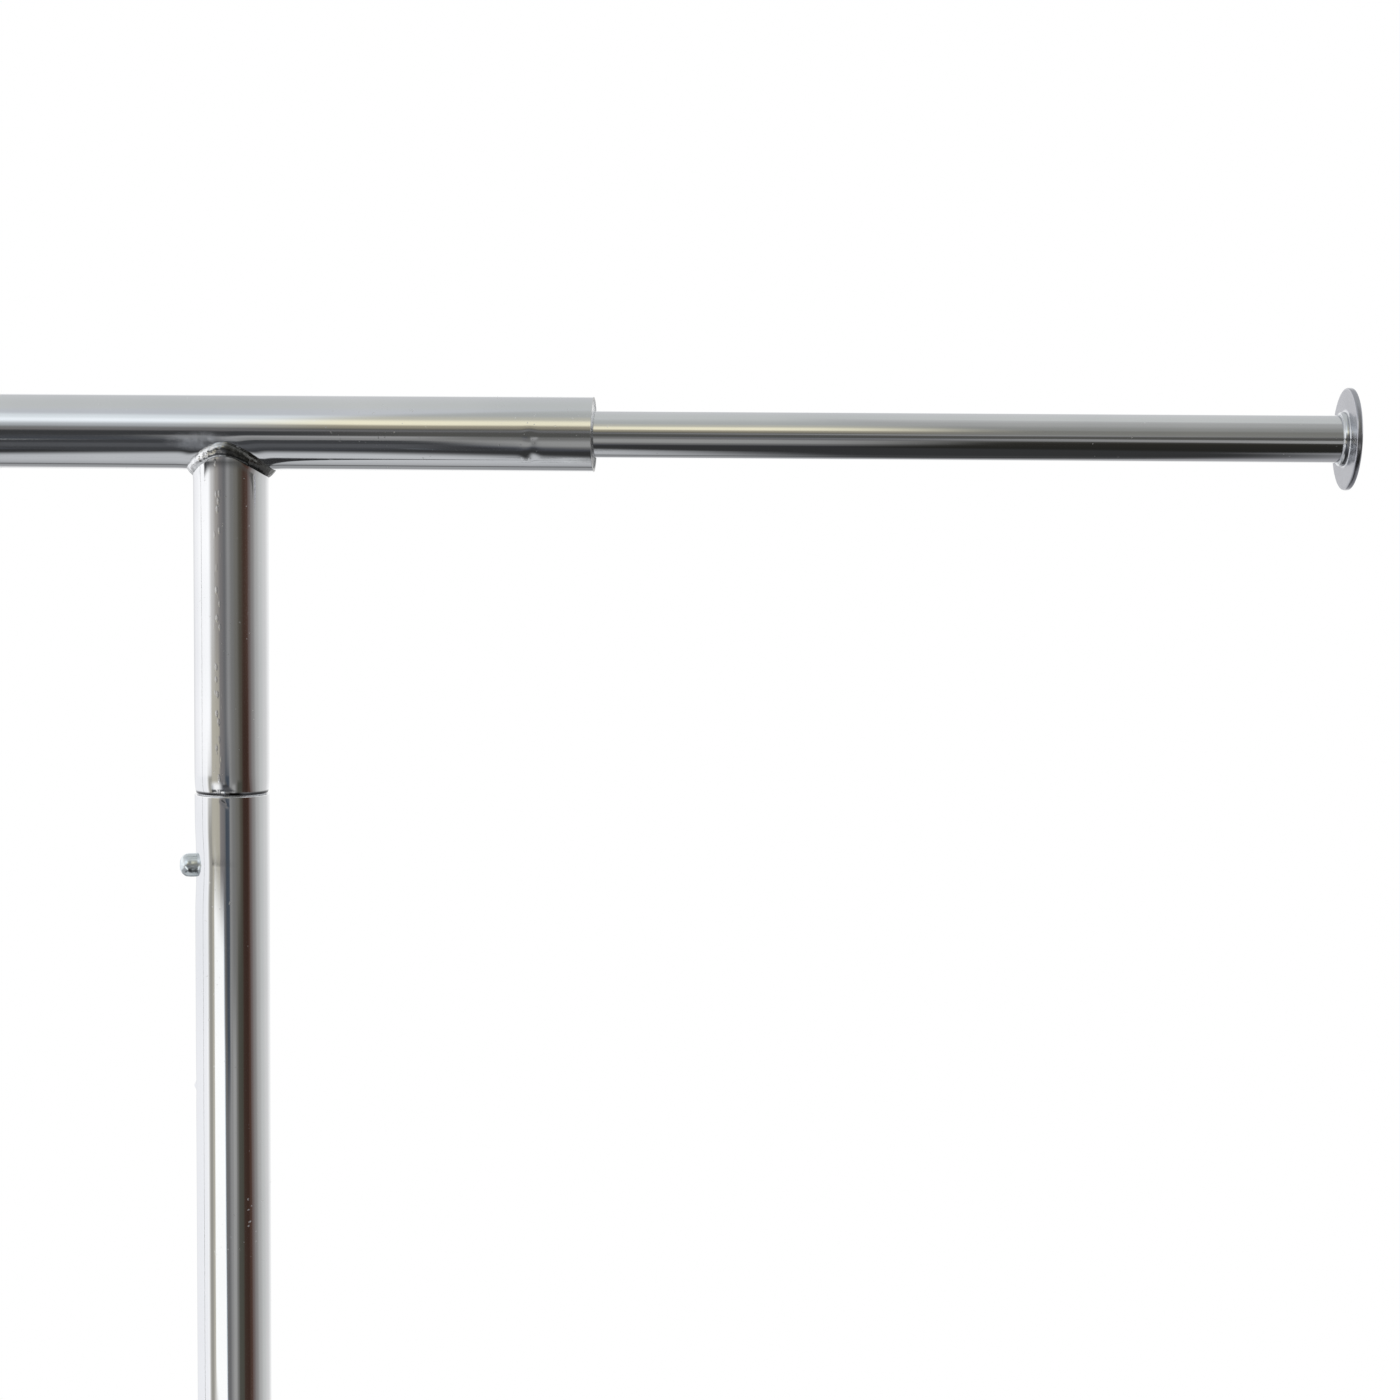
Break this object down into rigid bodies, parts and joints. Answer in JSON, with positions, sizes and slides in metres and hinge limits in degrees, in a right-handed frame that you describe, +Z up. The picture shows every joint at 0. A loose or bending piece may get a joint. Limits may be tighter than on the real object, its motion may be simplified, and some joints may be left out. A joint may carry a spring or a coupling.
{
  "type": "folding clothes rack",
  "caption": "Chromed tube clothes rack on casters: hang rail with pull-out end rods on plug-in posts, and swivelling feet that fold in line.",
  "frame": {"origin": "on the floor, midway between the two posts, where the four wheels stand", "axes": "+X along the hang rail to the right as seen from the front, +Y to the back, +Z up"},
  "size_m": [2.171, 0.57, 1.6785],
  "materials": {
    "chrome": "bright chrome plate with fine handling scratches",
    "chrome_disk": "chrome plate, slightly brushed on its flat faces",
    "weld": "rippled weld bead under chrome plate",
    "zinc": "bright zinc plate",
    "spring_steel": "oiled spring steel",
    "nylon": "black nylon",
    "cap_plastic": "fine-grained black plastic",
    "knob_plastic": "moulded black plastic",
    "brake_plastic": "moulded black nylon",
    "hub_plastic": "moulded grey nylon",
    "tyre_rubber": "dark grey non-marking rubber"
  },
  "bodies": {
    "frame": {"post_left": "chrome", "post_right": "chrome", "stretcher": "chrome", "stretcher_plugs": "nylon", "stretcher_bolts": "zinc", "saddle_washers": "chrome", "knob_bosses": "chrome"},
    "top_frame": {"hang_rail": "chrome", "tee_stub_left": "chrome", "tee_stub_right": "chrome", "tee_weld_left": "weld", "tee_weld_right": "weld", "top_sleeve_left": "zinc", "top_sleeve_right": "zinc", "snap_spring_left": "spring_steel", "snap_spring_right": "spring_steel", "rod_bush_left": "nylon", "rod_bush_right": "nylon"},
    "extension_left": {"rod_left": "chrome", "end_disk_left": "chrome_disk", "rod_glide_left": "nylon"},
    "button_left": {"snap_button_left": "zinc"},
    "foot_left": {"foot_tube_left": "chrome", "foot_stub_left": "chrome", "foot_weld_left": "weld", "foot_sleeve_left": "zinc", "foot_caps_left": "cap_plastic", "caster_stems_left": "zinc", "stem_nuts_left": "zinc"},
    "knob_left": {"clamp_knob_left": "knob_plastic"},
    "caster_left_front": {"fork_left_front": "zinc", "axle_left_front": "zinc"},
    "wheel_left_front": {"hub_left_front": "hub_plastic", "tyre_left_front": "tyre_rubber"},
    "caster_left_back": {"fork_left_back": "zinc", "axle_left_back": "zinc"},
    "wheel_left_back": {"hub_left_back": "hub_plastic", "tyre_left_back": "tyre_rubber"},
    "brake_left": {"brake_left": "brake_plastic"},
    "extension_right": {"rod_right": "chrome", "end_disk_right": "chrome_disk", "rod_glide_right": "nylon"},
    "button_right": {"snap_button_right": "zinc"},
    "foot_right": {"foot_tube_right": "chrome", "foot_stub_right": "chrome", "foot_weld_right": "weld", "foot_sleeve_right": "zinc", "foot_caps_right": "cap_plastic", "caster_stems_right": "zinc", "stem_nuts_right": "zinc"},
    "knob_right": {"clamp_knob_right": "knob_plastic"},
    "caster_right_front": {"fork_right_front": "zinc", "axle_right_front": "zinc"},
    "wheel_right_front": {"hub_right_front": "hub_plastic", "tyre_right_front": "tyre_rubber"},
    "caster_right_back": {"fork_right_back": "zinc", "axle_right_back": "zinc"},
    "wheel_right_back": {"hub_right_back": "hub_plastic", "tyre_right_back": "tyre_rubber"},
    "brake_right": {"brake_right": "brake_plastic"}
  },
  "joints": [
    {"name": "top_frame_lift", "type": "slide", "parent": "frame", "child": "top_frame", "axis": [0, 0, 1], "range_m": [0, 0.24]},
    {"name": "extension_left_pull", "type": "slide", "parent": "top_frame", "child": "extension_left", "axis": [-1, 0, 0], "range_m": [-0.315, 0]},
    {"name": "button_left_press", "type": "slide", "parent": "top_frame", "child": "button_left", "axis": [0.9781, -0.2079, 0], "range_m": [-0.0083, 0], "stiffness_N_per_m": 2500, "springref_m": 0.001, "deforming": ["snap_spring_left"]},
    {"name": "foot_left_fold", "type": "hinge", "parent": "frame", "child": "foot_left", "pos_m": [-0.608, 0, 0.186], "axis": [0, 0, 1], "range_deg": [0, 90]},
    {"name": "knob_left_turn", "type": "hinge", "parent": "frame", "child": "knob_left", "pos_m": [-0.608, 0, 0.2315], "axis": [-1, 0, 0], "range_deg": [0, 720]},
    {"name": "caster_left_front_swivel", "type": "hinge", "parent": "foot_left", "child": "caster_left_front", "pos_m": [-0.608, -0.242, 0.1], "axis": [0, 0, 1], "continuous": true},
    {"name": "wheel_left_front_spin", "type": "hinge", "parent": "caster_left_front", "child": "wheel_left_front", "pos_m": [-0.63, -0.242, 0.0375], "axis": [0, 1, 0], "continuous": true},
    {"name": "caster_left_back_swivel", "type": "hinge", "parent": "foot_left", "child": "caster_left_back", "pos_m": [-0.608, 0.242, 0.1], "axis": [0, 0, 1], "continuous": true},
    {"name": "wheel_left_back_spin", "type": "hinge", "parent": "caster_left_back", "child": "wheel_left_back", "pos_m": [-0.63, 0.242, 0.0375], "axis": [0, 1, 0], "continuous": true},
    {"name": "brake_left_press", "type": "hinge", "parent": "caster_left_front", "child": "brake_left", "pos_m": [-0.658, -0.242, 0.07], "axis": [0, -1, 0], "range_deg": [0, 25]},
    {"name": "extension_right_pull", "type": "slide", "parent": "top_frame", "child": "extension_right", "axis": [1, 0, 0], "range_m": [-0.315, 0]},
    {"name": "button_right_press", "type": "slide", "parent": "top_frame", "child": "button_right", "axis": [-0.9781, -0.2079, 0], "range_m": [-0.0083, 0], "stiffness_N_per_m": 2500, "springref_m": 0.001, "deforming": ["snap_spring_right"]},
    {"name": "foot_right_fold", "type": "hinge", "parent": "frame", "child": "foot_right", "pos_m": [0.608, 0, 0.186], "axis": [0, 0, -1], "range_deg": [0, 90]},
    {"name": "knob_right_turn", "type": "hinge", "parent": "frame", "child": "knob_right", "pos_m": [0.608, 0, 0.2315], "axis": [1, 0, 0], "range_deg": [0, 720]},
    {"name": "caster_right_front_swivel", "type": "hinge", "parent": "foot_right", "child": "caster_right_front", "pos_m": [0.608, -0.242, 0.1], "axis": [0, 0, 1], "continuous": true},
    {"name": "wheel_right_front_spin", "type": "hinge", "parent": "caster_right_front", "child": "wheel_right_front", "pos_m": [0.586, -0.242, 0.0375], "axis": [0, 1, 0], "continuous": true},
    {"name": "caster_right_back_swivel", "type": "hinge", "parent": "foot_right", "child": "caster_right_back", "pos_m": [0.608, 0.242, 0.1], "axis": [0, 0, 1], "continuous": true},
    {"name": "wheel_right_back_spin", "type": "hinge", "parent": "caster_right_back", "child": "wheel_right_back", "pos_m": [0.586, 0.242, 0.0375], "axis": [0, 1, 0], "continuous": true},
    {"name": "brake_right_press", "type": "hinge", "parent": "caster_right_front", "child": "brake_right", "pos_m": [0.558, -0.242, 0.07], "axis": [0, -1, 0], "range_deg": [0, 25]}
  ]
}
